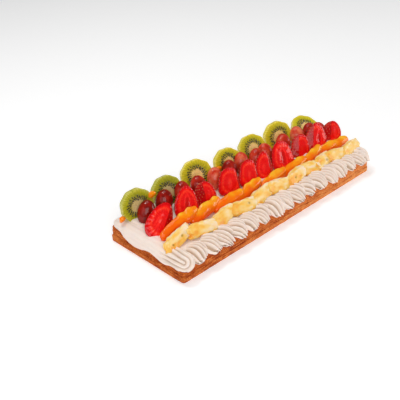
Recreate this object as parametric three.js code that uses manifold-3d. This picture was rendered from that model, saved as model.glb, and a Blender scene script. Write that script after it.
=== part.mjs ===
// A long fruit pastry cake: a slab of puff pastry, a bed of whipped cream piped with ropes over both
// short ends and shells down both long sides, and five rows of fruit standing in the cream.
// Millimetres, +Z up. The origin is the middle of the slab's underside, +X runs along the cake
// towards its far end and -Y is the front long side.
import * as THREE from "three";
import { mergeVertices } from "three/addons/utils/BufferGeometryUtils.js";
import Module from "manifold-3d";

const wasm = await Module();
wasm.setup();

// Driving dimensions
const CAKE_LENGTH = 400;
const CAKE_WIDTH = 140;
const PASTRY_HEIGHT = 24;
const PASTRY_CORNER = 5;
const GAP = 0.3;

// The cream under the fruit slopes up to the back
const BED_LENGTH = 372;
const BED_FRONT = -50;
const BED_BACK = 54;
const BED_FRONT_TOP = 31;
const BED_BACK_TOP = 38;

// Fruit, each row listed from the near end to the far end. A row of numbers holds the centre
// x, y, z, the size, then lean back, roll to the side and turn about the vertical in degrees.
const KIWI_THICKNESS = 8;
const KIWI_SIDES = 20;
const KIWI_CUTS = 9;
const KIWI_CUT_DEPTH = 0.02;
const KIWI_OVAL = 0.015;
// size: diameter
const KIWIS = [
  [-170, 48, 51, 47, 14, 0, -12],
  [-119, 44, 51, 47, 22, 4, -9],
  [-59, 47, 51, 47, 22, -3, -24],
  [-1, 41, 50, 45, 22, 6, -14],
  [52, 40, 52, 46, 30, 0, -18],
  [112, 42, 51, 47, 18, -5, -18],
  [173, 35, 45, 48, 62, 3, -6],
];
const GRAPE_WIDTH = 24;
const GRAPE_DEPTH = 12;
const GRAPE_CUT_BULGE = 1.2;
// size: length
const GRAPES = [
  [-168, 32, 46, 34, 27, 14, -36],
  [-134, 34, 47, 33, 27, 10, -34],
  [-101, 32, 47, 33, 29, 3, -20],
  [-74, 28, 47, 32, 27, -3, -26],
  [-43, 26, 47, 34, 25, 2, -24],
  [-12, 27, 47, 32, 28, 6, -18],
  [17, 31, 47, 32, 26, 2, -24],
  [41, 22, 47, 33, 27, 5, -28],
  [65, 26, 46, 31, 29, -4, -20],
  [104, 24, 47, 33, 27, 4, -26],
  [139, 25, 47, 32, 28, -2, -22],
  [165, 21, 45, 32, 26, 4, -24],
  [183, 17, 42, 30, 24, 3, -30],
];
const STRAWBERRY_DEPTH = 14;
const STRAWBERRY_CUT_BULGE = 1.4;
const STRAWBERRY_MIDDLE = 1.06;
const STRAWBERRY_TAPER = 0.3;
const STRAWBERRY_SHOULDER = 0.15;
// size: length, then width
const STRAWBERRIES = [
  [-169, 2, 47, 52, 40, 38, -20, 33],
  [-118, 6, 50, 46, 28, 12, -12, 34],
  [-84, 4, 50, 36, 18, -6, -16, 27],
  [-38, 3, 50, 40, 20, 8, -10, 34],
  [-2, -1, 50, 40, 22, 9, -10, 30],
  [30, -3, 50, 42, 26, 8, -14, 29],
  [72, -2, 49, 46, 30, 8, -8, 38],
  [116, -2, 46, 42, 20, 6, -16, 27],
  [157, 0, 48, 46, 24, 12, -12, 33],
  [189, -5, 48, 34, 12, 2, -24, 28],
];
const PEACH_HEIGHT = 18;
const PEACH_DEPTH = 13;
const PEACH_FULLNESS = 0.25;
const PEACH_SAG = 2.5;
const PEACH_TIP_RISE = 1;
const PEACH_BACK = 0.8;
// size: length
const PEACHES = [
  [-154, -15, 45, 70, 24, -10, -2],
  [-106, -16, 42, 62, 22, -6, 4],
  [-64, -20, 40, 58, 24, -5, -3],
  [-24, -20, 40, 58, 22, -7, 3],
  [27, -22, 37, 60, 24, -5, 2],
  [72, -22, 38, 60, 22, -6, -3],
  [115, -22, 38, 56, 24, -13, 3],
  [168, -21, 36, 72, 22, 0, -6],
];
const PINEAPPLE_HEIGHT = 19;
const PINEAPPLE_DEPTH = 14;
const PINEAPPLE_WORN = 0.13;
const PINEAPPLE_MIDDLE = 0.82;
const PINEAPPLE_TAPER = 0.18;
const PINEAPPLE_BOW = 2;
// size: length
const PINEAPPLES = [
  [-177, -33, 38, 50, 28, -12, 4],
  [-136, -38, 38, 44, 30, 6, -6],
  [-97, -38, 37, 44, 26, -8, 3],
  [-59, -40, 37, 42, 30, 5, -4],
  [-21, -39, 37, 44, 28, -6, 5],
  [17, -39, 37, 44, 26, 6, -3],
  [54, -40, 37, 40, 30, -8, 4],
  [86, -39, 37, 40, 28, 5, -5],
  [116, -40, 37, 38, 30, -6, 3],
  [146, -42, 37, 38, 26, 6, -4],
  [180, -44, 36, 40, 28, -3, 2],
];

// Piped cream shells: a row to each side, their distances drifting as in a hand-piped row, the last
// one turned into the corner
const SHELL_COUNT = 16;
const SHELL_FIRST = -168;
const SHELL_PITCH = 24.9;
const SHELL_DRIFT = 1.5;
const SHELL_DRIFT_STEP = 2.4;
const SHELL_CORNER_X = 190;
const SHELL_WIDTH = 37;
const SHELL_DEPTH = 28;
const SHELL_Y = 59.5;
const SHELL_Z = 27;
const SHELL_RISE = 11;
const SHELL_UNDER = 8;
const SHELL_DROOP = 9;
const SHELL_FLUTES = 5;
const SHELL_FLUTE_DEPTH = 0.09;
const SHELL_MIDDLE = 0.86;
const SHELL_FAN = 0.2;
const SHELL_TURN = -26;
const SHELL_CORNER_TURN = -45;

// Piped ropes over the short ends
const ROPE_X = 189;
const ROPE_Z = 27;
const ROPE_OUT = 14.5;
const ROPE_IN = 13;
const ROPE_RISE = 8;
const ROPE_SQUARE_OVER = 2.3;
const ROPE_SQUARE_UNDER = 3.6;
const ROPE_FRONT = -67;
const ROPE_BACK = 69;
const ROPE_FLUTES = 8;
const ROPE_FLUTE_DEPTH = 0.035;
const ROPE_TAPER = 0.35;
const DRIP_DEPTH = 12.5;
const DRIP_WAVE = 3.7;
const DRIP_PERIOD = 58;
const DRIP_PHASE = 8;
const DRIP_END = 44;
const DRIP_FADE = 4;
const DRIP_LEAST = 2;
const CURL_PLACE = [-190, -61, 24.5];
const CURL_TURN = 135;
const CURL_TILT = 32;
const CURL_RADIUS = 14;
const CURL_WINDS = 4;
const CURL_RIDGE = 0.05;

const COLOURS = {
  pastry: 0xc98545,
  cream: 0xf3ece6,
  kiwi: 0x8fae2e,
  grape: 0x6e1f1c,
  strawberry: 0xd4161a,
  peach: 0xff8a0a,
  pineapple: 0xf6cf74,
};

function finish(colour, roughness) {
  return new THREE.MeshStandardMaterial({ color: colour, roughness, metalness: 0 });
}

const pastryFinish = finish(COLOURS.pastry, 0.75);
const creamFinish = finish(COLOURS.cream, 0.55);
const kiwiFinish = finish(COLOURS.kiwi, 0.2);
const grapeFinish = finish(COLOURS.grape, 0.15);
const strawberryFinish = finish(COLOURS.strawberry, 0.2);
const peachFinish = finish(COLOURS.peach, 0.15);
const pineappleFinish = finish(COLOURS.pineapple, 0.3);

const radians = THREE.MathUtils.degToRad;

// A copy of a closed geometry with shared vertices, each vertex moved in place by the map.
function shaped(source, map) {
  source.deleteAttribute("normal");
  source.deleteAttribute("uv");
  const geometry = mergeVertices(source, 1e-4);
  const position = geometry.getAttribute("position");
  const point = new THREE.Vector3();
  for (let i = 0; i < position.count; i++) {
    point.fromBufferAttribute(position, i);
    map(point);
    position.setXYZ(i, point.x, point.y, point.z);
  }
  geometry.computeVertexNormals();
  return geometry;
}

// The point of a rounded rectangle's outline in the direction of an angle.
function roundedOutline(angle, halfLength, halfWidth, corner) {
  const dx = Math.cos(angle);
  const dy = Math.sin(angle);
  const straightX = halfLength - corner;
  const straightY = halfWidth - corner;
  const side = Math.min(halfLength / Math.abs(dx), halfWidth / Math.abs(dy));
  const x = side * dx;
  const y = side * dy;
  if (Math.abs(x) <= straightX || Math.abs(y) <= straightY) return [x, y];
  const cx = Math.sign(x) * straightX;
  const cy = Math.sign(y) * straightY;
  const along = cx * dx + cy * dy;
  const reach = along + Math.sqrt(along * along - cx * cx - cy * cy + corner * corner);
  return [reach * dx, reach * dy];
}

// Puff pastry slab: its sides bulge a little and step in and out where the layers have parted,
// with a ledge along the foot. Each row holds a height and how far the side stands out there.
const PASTRY_LAYERS = [
  [0, -0.5],
  [1.6, 0],
  [7.6, 0],
  [8.6, -1.6],
  [11, -0.7],
  [12.5, -1.5],
  [16, -0.3],
  [17.2, -1.2],
  [22.4, -0.6],
  [PASTRY_HEIGHT, -2.4],
];

// The slab as a stack of rings, one for each row of PASTRY_LAYERS, closed by a fan at each end.
function pastryBase(grow) {
  const around = 48;
  const rings = PASTRY_LAYERS.length;
  const source = new THREE.CylinderGeometry(1, 1, 1, around, rings - 1);
  return shaped(source, (p) => {
    const ring = Math.round((p.y + 0.5) * (rings - 1));
    const [height, inset] = PASTRY_LAYERS[ring];
    const z = height + (ring === rings - 1 ? grow : ring === 0 ? -grow : 0);
    if (Math.hypot(p.x, p.z) < 1e-6) return p.set(0, 0, z);
    const turn = Math.atan2(-p.z, p.x);
    const step = Math.round((turn / (2 * Math.PI)) * around);
    const angle = outlineAngle(step / around);
    const [x, y] = roundedOutline(
      angle,
      CAKE_LENGTH / 2 + inset + grow,
      CAKE_WIDTH / 2 + inset + grow,
      PASTRY_CORNER,
    );
    return p.set(x, y, z);
  });
}

// Spreads a share of a turn over the outline: points gather at the four corners.
function outlineAngle(share) {
  const quarter = Math.floor(share * 4);
  const within = share * 4 - quarter;
  const cornerTurn = Math.atan2(CAKE_WIDTH, CAKE_LENGTH);
  const odd = ((quarter % 2) + 2) % 2 === 1;
  const corner = odd ? 1 - cornerTurn / (Math.PI / 2) : cornerTurn / (Math.PI / 2);
  const s = within < 0.5 ? ease(within * 2) * corner : corner + (1 - corner) * (1 - ease((1 - within) * 2));
  return (quarter + s) * (Math.PI / 2);
}

// Rises from 0 to 1, slowly at the end.
function ease(t) {
  return Math.sin((t * Math.PI) / 2);
}

// Cream bed under the fruit: a block with a sloping top.
function creamBed(grow) {
  const source = new THREE.BoxGeometry(BED_LENGTH + 2 * grow, 2, 2);
  return shaped(source, (p) => {
    const edge = p.y < 0 ? BED_FRONT : BED_BACK;
    const top = p.y < 0 ? BED_FRONT_TOP : BED_BACK_TOP;
    p.set(p.x, edge + p.y * grow, p.z < 0 ? PASTRY_HEIGHT + GAP - grow : top + grow);
  });
}

// The slab as a plain block, for cutting what lies over its top and edges.
function slabBlock(grow) {
  const source = new THREE.BoxGeometry(
    CAKE_LENGTH + 2 * grow,
    CAKE_WIDTH + 2 * grow,
    PASTRY_HEIGHT + 2 * grow,
  );
  source.translate(0, 0, PASTRY_HEIGHT / 2);
  return shaped(source, () => {});
}

// Kiwi slice: a disc with a peeled, slightly faceted edge, its face looking along -Y.
function kiwiSlice(diameter, grow) {
  const source = new THREE.CylinderGeometry(1, 1, KIWI_THICKNESS + 2 * grow, KIWI_SIDES, 1);
  return shaped(source, (p) => {
    const angle = Math.atan2(p.z, p.x);
    const facet = 1 + KIWI_CUT_DEPTH * Math.cos(KIWI_CUTS * angle) + KIWI_OVAL * Math.cos(2 * angle);
    const radius = (Math.hypot(p.x, p.z) > 0.5 ? 1 : 0) * (diameter / 2 + grow) * facet;
    p.set(radius * Math.cos(angle), p.y, radius * Math.sin(angle));
  });
}

// Half a grape on end: the skin bulges along -Y and the cut face is nearly flat.
function grapeHalf(length, grow) {
  const source = new THREE.SphereGeometry(1, 8, 6);
  return shaped(source, (p) => {
    const depth = p.z < 0 ? GRAPE_CUT_BULGE : GRAPE_DEPTH - GRAPE_CUT_BULGE;
    p.set(p.x * (GRAPE_WIDTH / 2 + grow), -p.z * (depth + grow), p.y * (length / 2 + grow));
  });
}

// Half a strawberry, tip up, on full shoulders: the cut face looks along -Y and the skin bulges
// behind it.
function strawberryHalf(length, width, grow) {
  const source = new THREE.SphereGeometry(1, 10, 6);
  return shaped(source, (p) => {
    const shoulder = p.y < 0 ? Math.pow(Math.max(1 - p.y * p.y, 1e-6), -STRAWBERRY_SHOULDER) : 1;
    const narrow = (STRAWBERRY_MIDDLE - STRAWBERRY_TAPER * p.y) * shoulder;
    const depth = p.z > 0 ? STRAWBERRY_CUT_BULGE : STRAWBERRY_DEPTH - STRAWBERRY_CUT_BULGE;
    p.set(
      p.x * narrow * (width / 2 + grow),
      -p.z * narrow * (depth + grow),
      p.y * (length / 2 + grow),
    );
  });
}

// Peach slice: a crescent lying along X, one end bent down and the other bent up.
function peachSlice(length, grow) {
  const source = new THREE.SphereGeometry(1, 7, 6);
  return shaped(source, (p) => {
    const along = p.y;
    const full = Math.pow(Math.max(1 - along * along, 1e-6), -PEACH_FULLNESS);
    const sag = (along < 0 ? PEACH_SAG : -PEACH_TIP_RISE) * along * along;
    const skin = p.z < 0 ? 1 : PEACH_BACK;
    p.set(
      along * (length / 2 + grow),
      p.z * full * skin * (PEACH_DEPTH / 2 + grow),
      p.x * full * (PEACH_HEIGHT / 2 + grow) - sag,
    );
  });
}

// Pineapple piece: a wedge lying along X, thick at its foot, with its edges worn round.
function pineapplePiece(length, grow) {
  const source = new THREE.BoxGeometry(2, 2, 2, 3, 2, 2);
  return shaped(source, (p) => {
    const edges = p.x * p.x * p.y * p.y + p.y * p.y * p.z * p.z + p.x * p.x * p.z * p.z;
    const round = 1 - PINEAPPLE_WORN * edges;
    const taper = PINEAPPLE_MIDDLE - PINEAPPLE_TAPER * p.z;
    const bow = PINEAPPLE_BOW * p.x * p.x;
    p.set(
      p.x * round * (length / 2 + grow),
      p.y * round * taper * (PINEAPPLE_DEPTH / 2 + grow) - bow,
      p.z * round * (PINEAPPLE_HEIGHT / 2 + grow),
    );
  });
}

// One piped shell: flutes fan from its tail over the bed to its head, which droops over the edge.
function creamShell(grow) {
  const source = new THREE.SphereGeometry(1, SHELL_FLUTES * 2, 4);
  return shaped(source, (p) => {
    const angle = Math.atan2(p.z, p.x);
    const head = p.y;
    const flute = 1 + SHELL_FLUTE_DEPTH * Math.cos(SHELL_FLUTES * angle);
    const fan = SHELL_MIDDLE + SHELL_FAN * head;
    const rise = p.z > 0 ? SHELL_RISE : SHELL_UNDER;
    const droop = head > 0 ? SHELL_DROOP * head * head : 0;
    p.set(
      -p.x * fan * flute * (SHELL_WIDTH / 2 + grow),
      -head * (SHELL_DEPTH / 2 + grow),
      p.z * flute * (rise + grow) - droop,
    );
  });
}

// How far the cream of a short end hangs over the slab at a place across it.
function dripDepth(y) {
  const wave = DRIP_DEPTH - DRIP_WAVE * Math.cos((2 * Math.PI * (y + DRIP_PHASE)) / DRIP_PERIOD);
  const end = THREE.MathUtils.smoothstep(y, DRIP_END - DRIP_FADE, DRIP_END + DRIP_FADE);
  return THREE.MathUtils.lerp(wave, DRIP_LEAST, end);
}

// Fluted rope along a short end, its outer side hanging down over the slab.
function creamRope(grow) {
  const length = ROPE_BACK - ROPE_FRONT;
  const source = new THREE.CylinderGeometry(1, 1, length, ROPE_FLUTES * 2, 11);
  return shaped(source, (p) => {
    const y = p.y + (ROPE_BACK + ROPE_FRONT) / 2;
    const angle = Math.atan2(p.z, p.x);
    const inside = Math.hypot(p.x, p.z) < 0.5 ? 0 : 1;
    const c = Math.cos(angle);
    const s = Math.sin(angle);
    const power = s < 0 ? ROPE_SQUARE_UNDER : ROPE_SQUARE_OVER;
    const square = Math.pow(Math.pow(Math.abs(c), power) + Math.pow(Math.abs(s), power), -1 / power);
    const flute = 1 + ROPE_FLUTE_DEPTH * Math.cos(ROPE_FLUTES * angle);
    const reach = inside * square * flute;
    const under = ROPE_Z - (PASTRY_HEIGHT - dripDepth(y));
    const taper = p.y > 0 ? 1 - ROPE_TAPER * Math.pow((2 * p.y) / length, 6) : 1;
    p.set(
      reach * c * ((c < 0 ? ROPE_OUT : ROPE_IN) + grow) * taper,
      y + Math.sign(p.y) * (Math.abs(p.y) > length / 2 - 1 ? grow : 0),
      reach * s * ((s > 0 ? ROPE_RISE : under) + grow) * taper,
    );
  });
}

// The rope's end wound up on itself at the near front corner.
function creamCurl(grow) {
  const source = new THREE.SphereGeometry(1, 14, 8);
  return shaped(source, (p) => {
    const polar = Math.acos(THREE.MathUtils.clamp(p.y, -1, 1));
    const angle = Math.atan2(p.z, p.x);
    const winding = Math.cos(CURL_WINDS * polar - angle);
    const ridge = p.y > 0 && p.y < 0.99 ? CURL_RIDGE * winding : 0;
    p.multiplyScalar((CURL_RADIUS + grow) * (1 + ridge));
  });
}

// A closed geometry, carried by a matrix, as a solid that can be joined and cut.
function solidOf(geometry, matrix) {
  const placed = geometry.clone().applyMatrix4(matrix);
  return new wasm.Manifold(
    new wasm.Mesh({
      numProp: 3,
      vertProperties: new Float32Array(placed.getAttribute("position").array),
      triVerts: new Uint32Array(placed.index.array),
    }),
  );
}

// A solid's largest body as a geometry, carried back by the inverse of a matrix.
function geometryOf(solid, matrix) {
  const bodies = solid.decompose();
  const body = bodies.reduce((a, b) => (b.volume() > a.volume() ? b : a));
  const mesh = body.getMesh();
  const geometry = new THREE.BufferGeometry();
  geometry.setAttribute("position", new THREE.BufferAttribute(Float32Array.from(mesh.vertProperties), 3));
  geometry.setIndex(new THREE.BufferAttribute(Uint32Array.from(mesh.triVerts), 1));
  geometry.applyMatrix4(matrix.clone().invert());
  geometry.computeVertexNormals();
  return geometry;
}

// A named mesh with a function that makes its shape again, grown on all sides, as a cutter.
function piece(parent, name, material, make) {
  const mesh = new THREE.Mesh(make(0), material);
  mesh.name = name;
  mesh.userData.make = make;
  parent.add(mesh);
  return mesh;
}

// Sets a mesh down: centre in millimetres, then lean back, roll to the side and turn in degrees.
function setDown(mesh, x, y, z, lean, roll, turn) {
  mesh.position.set(x, y, z);
  mesh.rotation.set(-radians(lean), radians(roll), radians(turn), "ZXY");
}

function boxesMeet(a, b) {
  for (const axis of [0, 1, 2]) {
    if (a.max[axis] < b.min[axis] || b.max[axis] < a.min[axis]) return false;
  }
  return true;
}

// Cuts a mesh by the grown solids that reach it.
function cutBy(mesh, cutters) {
  let solid = solidOf(mesh.geometry, mesh.matrixWorld);
  const box = solid.boundingBox();
  const near = cutters.filter((cutter) => boxesMeet(box, cutter.boundingBox()));
  if (near.length === 0) return;
  for (const cutter of near) solid = solid.subtract(cutter);
  mesh.geometry = geometryOf(solid, mesh.matrixWorld);
}

function grownSolid(mesh) {
  return solidOf(mesh.userData.make(GAP), mesh.matrixWorld);
}

const cake = new THREE.Group();
const fruit = new THREE.Group();
const cream = new THREE.Group();
cake.add(cream, fruit);

piece(cake, "pastry_base", pastryFinish, pastryBase);
const bed = piece(cream, "cream_bed", creamFinish, creamBed);

const kiwis = KIWIS.map(([x, y, z, size, lean, roll, turn], i) => {
  const mesh = piece(fruit, `kiwi_${i + 1}`, kiwiFinish, (grow) => kiwiSlice(size, grow));
  setDown(mesh, x, y, z, lean, roll, turn);
  return mesh;
});

const grapes = GRAPES.map(([x, y, z, size, lean, roll, turn], i) => {
  const mesh = piece(fruit, `grape_${i + 1}`, grapeFinish, (grow) => grapeHalf(size, grow));
  setDown(mesh, x, y, z, lean, roll, turn);
  return mesh;
});

const strawberries = STRAWBERRIES.map(([x, y, z, size, lean, roll, turn, width], i) => {
  const make = (grow) => strawberryHalf(size, width, grow);
  const mesh = piece(fruit, `strawberry_${i + 1}`, strawberryFinish, make);
  setDown(mesh, x, y, z, lean, roll, turn);
  return mesh;
});

const peaches = PEACHES.map(([x, y, z, size, lean, roll, turn], i) => {
  const mesh = piece(fruit, `peach_${i + 1}`, peachFinish, (grow) => peachSlice(size, grow));
  setDown(mesh, x, y, z, lean, roll, turn);
  return mesh;
});

const pineapples = PINEAPPLES.map(([x, y, z, size, lean, roll, turn], i) => {
  const make = (grow) => pineapplePiece(size, grow);
  const mesh = piece(fruit, `pineapple_${i + 1}`, pineappleFinish, make);
  setDown(mesh, x, y, z, lean, roll, turn);
  return mesh;
});

cake.updateMatrixWorld(true);

// Fruit in front keeps its whole form, and what stands behind or beside it gives way. None of it
// goes into the slab.
const slab = solidOf(slabBlock(GAP), new THREE.Matrix4());
const standing = [];
for (const mesh of [...pineapples, ...peaches, ...strawberries, ...grapes, ...kiwis]) {
  cutBy(mesh, [slab, ...standing]);
  standing.push(grownSolid(mesh));
}

// Each border is one run of cream, joined from its piped forms.
function joined(forms) {
  return forms
    .map(([make, matrix]) => solidOf(make(0), matrix))
    .reduce((a, b) => a.add(b));
}

function placedAt(x, y, z, turn, tilt = 0) {
  const turned = new THREE.Quaternion().setFromEuler(new THREE.Euler(radians(tilt), 0, radians(turn), "ZXY"));
  return new THREE.Matrix4().compose(new THREE.Vector3(x, y, z), turned, new THREE.Vector3(1, 1, 1));
}

function shellRow(side) {
  const facing = side < 0 ? 0 : 180;
  const forms = [];
  for (let i = 0; i < SHELL_COUNT - 1; i++) {
    const x = SHELL_FIRST + i * SHELL_PITCH + SHELL_DRIFT * Math.sin(i * SHELL_DRIFT_STEP);
    forms.push([creamShell, placedAt(x, side * SHELL_Y, SHELL_Z, facing + side * SHELL_TURN)]);
  }
  const turn = facing + side * SHELL_CORNER_TURN;
  forms.push([creamShell, placedAt(SHELL_CORNER_X, side * SHELL_Y, SHELL_Z, turn)]);
  return forms;
}

function ropeAt(end) {
  return [creamRope, placedAt(end * ROPE_X, 0, ROPE_Z, end < 0 ? 0 : 180)];
}

function grownForms(forms) {
  return forms.map(([make, matrix]) => solidOf(make(GAP), matrix));
}

function border(name, forms, cutters) {
  const solid = joined(forms);
  const mesh = new THREE.Mesh(geometryOf(solid, new THREE.Matrix4()), creamFinish);
  mesh.name = name;
  cream.add(mesh);
  mesh.updateMatrixWorld(true);
  cutBy(mesh, [slab, grownSolid(bed), ...standing, ...cutters]);
}

const curl = [creamCurl, placedAt(...CURL_PLACE, CURL_TURN, CURL_TILT)];
const ropeNear = [ropeAt(-1), curl];
const shellsFront = shellRow(-1);
const shellsBack = shellRow(1);
border("cream_rope_near", ropeNear, []);
border("cream_shells_front", shellsFront, grownForms(ropeNear));
border("cream_shells_back", shellsBack, grownForms(ropeNear));
border("cream_rope_far", [ropeAt(1)], grownForms([...shellsFront, ...shellsBack]));
cutBy(bed, standing);

export default cake;
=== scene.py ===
"""A long fruit pastry cake: a flaky slab, a bed of whipped cream piped with ropes and shells, and five
rows of glazed fruit standing in the cream. +Z is up, +X runs to the far end and -Y is the front side.
Sizes and places are in millimetres, and piece() makes them metres."""
import math

import bpy
import numpy as np
from mathutils import Matrix, Vector


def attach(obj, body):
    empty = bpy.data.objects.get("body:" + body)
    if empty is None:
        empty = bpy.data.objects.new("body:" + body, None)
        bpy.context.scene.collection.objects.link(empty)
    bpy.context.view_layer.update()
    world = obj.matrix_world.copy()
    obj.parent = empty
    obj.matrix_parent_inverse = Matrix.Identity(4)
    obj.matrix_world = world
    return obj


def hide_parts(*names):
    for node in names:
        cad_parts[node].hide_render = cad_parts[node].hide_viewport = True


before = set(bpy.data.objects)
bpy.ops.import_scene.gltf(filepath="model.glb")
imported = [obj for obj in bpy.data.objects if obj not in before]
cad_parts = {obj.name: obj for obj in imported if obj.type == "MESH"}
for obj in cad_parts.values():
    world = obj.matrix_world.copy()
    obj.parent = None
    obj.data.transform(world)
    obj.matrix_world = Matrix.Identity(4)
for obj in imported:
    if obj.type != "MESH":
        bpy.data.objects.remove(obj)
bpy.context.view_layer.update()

# Puff pastry slab: many thin baked layers over a denser foot, golden where the layers stand proud
# and browner in the gaps, a painted shade in those recesses. It is baked flat, so its sides step in
# and out and its foot is level.
MM = 0.001
SLAB_HALF_LENGTH = 200
SLAB_HALF_WIDTH = 70
SLAB_HEIGHT = 24
SLAB_CORNER = 5
SLAB_AROUND = 1200
SLAB_ROWS = 72
FOOT_HEIGHT, FOOT_INSET, FOOT_RELIEF = 7.6, 0.15, 0.3
LAYER_COUNT, LAYER_INSET, LAYER_RELIEF = 9, 1.5, 0.9
TOP_ROUND, FOOT_ROUND = 2.5, 1.2
lattice = np.random.default_rng(7).uniform(-1, 1, (32, 32, 32))


def cloud(points, spacing, seed=0):
    """Smooth noise from -1 to 1: random values on a cubic lattice of that spacing, blended between
    the eight lattice corners round each point by t * t * (3 - 2 t) along each axis."""
    q = np.asarray(points) / spacing + seed * 5.37
    cell = np.floor(q).astype(int)
    t = q - cell
    t = t * t * (3 - 2 * t)
    total = 0
    for corner in np.ndindex(2, 2, 2):
        weight = np.prod(np.where(corner, t, 1 - t), axis=-1)
        i, j, k = np.moveaxis((cell + corner) % 32, -1, 0)
        total = total + weight * lattice[i, j, k]
    return total


def closed_tube(rings, start, end):
    """Points and faces of a closed surface. rings is an array (rings, around, 3) of loops in order;
    a fan from the point start closes the first loop and one from the point end closes the last."""
    count, around = rings.shape[:2]
    points = np.concatenate([rings.reshape(-1, 3), [start], [end]])
    loop = np.arange(around)
    after = (loop + 1) % around
    base = np.arange(count - 1)[:, None] * around
    quads = np.stack([base + loop, base + after, base + around + after, base + around + loop], -1)
    first = np.stack([after, loop, np.full(around, count * around)], -1)
    last = np.stack([loop, after, np.full(around, count * around + 1)], -1)
    last[:, :2] += (count - 1) * around
    return points, quads.reshape(-1, 4), np.concatenate([first, last])


def merged(parts):
    """Several (points, quads, triangles) as one, their point numbers moved on in turn."""
    points, quads, triangles, start = [], [], [], 0
    for p, q, t in parts:
        points.append(p)
        quads.append(q + start)
        triangles.append(t + start)
        start += len(p)
    return np.concatenate(points), np.concatenate(quads), np.concatenate(triangles)


def piece(name, parts, materials, nodes, values=None, flat=None):
    """An object that rides the cake and stands for CAD nodes. parts holds one closed surface for
    each material; values are named numbers for each point, and flat is a pair of numbers for each
    point that becomes the UV map."""
    points, quads, triangles = merged(parts)
    a, b, c = (points[quads[:, k]] for k in range(3))
    d = points[quads[:, 3]]
    e, f, g = (points[triangles[:, k]] for k in range(3))
    flats = [(a, b, c), (a, c, d), (e, f, g)]
    volume = sum(np.einsum("ij,ij->i", u, np.cross(v, w)).sum() for u, v, w in flats)
    if volume < 0:
        quads, triangles = quads[:, ::-1], triangles[:, ::-1]
    mesh = bpy.data.meshes.new(name)
    mesh.vertices.add(len(points))
    mesh.vertices.foreach_set("co", (points * MM).astype(np.float32).ravel())
    corners = np.concatenate([quads.ravel(), triangles.ravel()])
    sizes = np.concatenate([np.full(len(quads), 4), np.full(len(triangles), 3)])
    mesh.loops.add(len(corners))
    mesh.loops.foreach_set("vertex_index", corners.astype(np.int32))
    mesh.polygons.add(len(sizes))
    mesh.polygons.foreach_set("loop_start", (np.cumsum(sizes) - sizes).astype(np.int32))
    part_of_point = np.repeat(np.arange(len(parts)), [len(p) for p, _, _ in parts])
    face_part = part_of_point[corners[np.cumsum(sizes) - sizes]]
    mesh.polygons.foreach_set("material_index", face_part.astype(np.int32))
    mesh.polygons.foreach_set("use_smooth", np.ones(len(sizes), bool))
    mesh.update(calc_edges=True)
    for key, value in (values or {}).items():
        layer = mesh.attributes.new(key, "FLOAT", "POINT")
        layer.data.foreach_set("value", np.broadcast_to(value, len(points)).astype(np.float32))
    if flat is not None:
        layer = mesh.uv_layers.new(name="UVMap")
        layer.data.foreach_set("uv", flat[corners].astype(np.float32).ravel())
    mesh.validate()
    made = bpy.data.objects.new(name, mesh)
    bpy.context.collection.objects.link(made)
    for material in materials:
        mesh.materials.append(material)
    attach(made, "root")
    if nodes:
        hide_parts(*nodes)
    return made


def add(tree, kind, inputs=None, **settings):
    """One shader node: settings are its own fields, and inputs gives a socket a value or a link."""
    made = tree.nodes.new(kind)
    for field, value in settings.items():
        setattr(made, field, value)
    for socket, value in (inputs or {}).items():
        if isinstance(value, bpy.types.NodeSocket):
            tree.links.new(value, made.inputs[socket])
        else:
            made.inputs[socket].default_value = value
    return made


def finish(name, roughness, **sockets):
    """A material with one Principled shader: returns the material, its node tree and the shader."""
    material = bpy.data.materials.new(name)
    material.use_nodes = True
    shader = material.node_tree.nodes["Principled BSDF"]
    shader.inputs["Roughness"].default_value = roughness
    for socket, value in sockets.items():
        shader.inputs[socket.replace("_", " ")].default_value = value
    return material, material.node_tree, shader


def ramp(tree, value, stops):
    """The colour of a value between 0 and 1, from a list of (place, colour)."""
    made = add(tree, "ShaderNodeValToRGB", {0: value})
    while len(made.color_ramp.elements) < len(stops):
        made.color_ramp.elements.new(0.5)
    for element, (place, colour) in zip(made.color_ramp.elements, stops):
        element.position = place
        element.color = (*colour, 1)
    return made.outputs["Color"]


def mixed(tree, factor, first, second, way="MIX"):
    """Two colours mixed by a factor."""
    made = add(tree, "ShaderNodeMix", data_type="RGBA", blend_type=way)
    for socket, value in {0: factor, 6: first, 7: second}.items():
        if isinstance(value, bpy.types.NodeSocket):
            tree.links.new(value, made.inputs[socket])
        else:
            made.inputs[socket].default_value = value if socket == 0 else (*value, 1)
    return made.outputs[2]


def grain(tree, place, scale, stretch=(1, 1, 1), detail=3):
    """Noise over a place, from 0 to 1, drawn out along the axes by stretch."""
    moved = add(tree, "ShaderNodeMapping", {"Vector": place, "Scale": stretch}).outputs[0]
    return add(tree, "ShaderNodeTexNoise", {"Vector": moved, "Scale": scale, "Detail": detail}).outputs[0]


def scaled(tree, value, factor, offset):
    """A value times a factor plus an offset, each a number or a link."""
    inputs = {0: value, 1: factor, 2: offset}
    return add(tree, "ShaderNodeMath", inputs, operation="MULTIPLY_ADD").outputs[0]


def object_place(tree):
    """The place of a point in the cake, in metres."""
    return add(tree, "ShaderNodeTexCoord").outputs["Object"]


def attribute(tree, name):
    """The number that a mesh keeps for each point under a name."""
    return add(tree, "ShaderNodeAttribute", attribute_name=name).outputs["Fac"]


def paint(tree, shader, colour):
    """Gives the shader its colour."""
    tree.links.new(colour, shader.inputs["Base Color"])


def bump(tree, shader, height, strength, distance):
    """Fine relief that is too small for the mesh."""
    made = add(tree, "ShaderNodeBump", {"Height": height, "Strength": strength, "Distance": distance})
    tree.links.new(made.outputs[0], shader.inputs["Normal"])


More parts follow.
